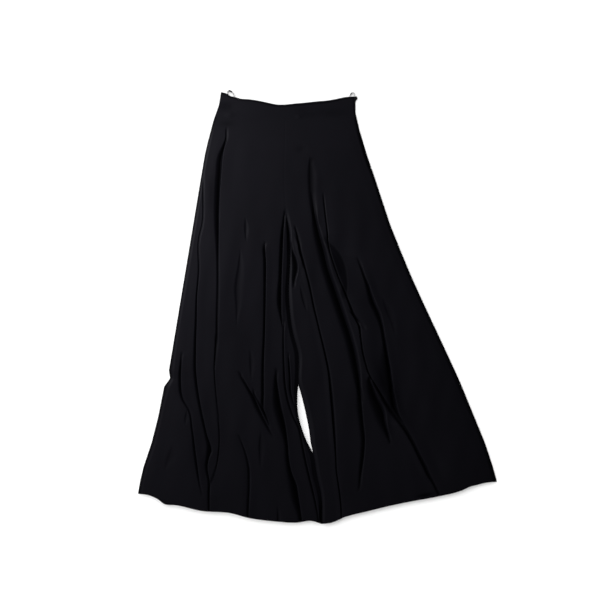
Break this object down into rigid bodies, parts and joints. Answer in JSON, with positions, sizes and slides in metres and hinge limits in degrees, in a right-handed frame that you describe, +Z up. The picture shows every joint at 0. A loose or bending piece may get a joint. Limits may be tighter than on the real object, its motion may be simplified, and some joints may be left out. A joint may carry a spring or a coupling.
{
  "type": "palazzo pants",
  "caption": "High-waisted wide-leg palazzo pants in soft black crepe, laid flat with the legs spread and falling in long loose folds.",
  "frame": {"origin": "on the surface the pants lie on, under the middle of their outline", "axes": "+X towards the wearer's left side, +Y from the hems to the waist, +Z up from the surface through the back panels to the front"},
  "size_m": [0.896, 1.0846, 0.0146],
  "materials": {
    "crepe": "near-black matt drapey crepe with a very faint blue-violet cast",
    "zip_tape": "black woven zip tape, matt",
    "ribbon": "narrow black satin ribbon, slightly shiny"
  },
  "bodies": {
    "root": {"front_leg_right": "crepe", "front_leg_left": "crepe", "back_leg_right": "crepe", "back_leg_left": "crepe", "waistband_front": "crepe", "waistband_back": "crepe", "side_zip": "zip_tape", "hanger_loop_right": "ribbon", "hanger_loop_left": "ribbon"}
  },
  "joints": []
}
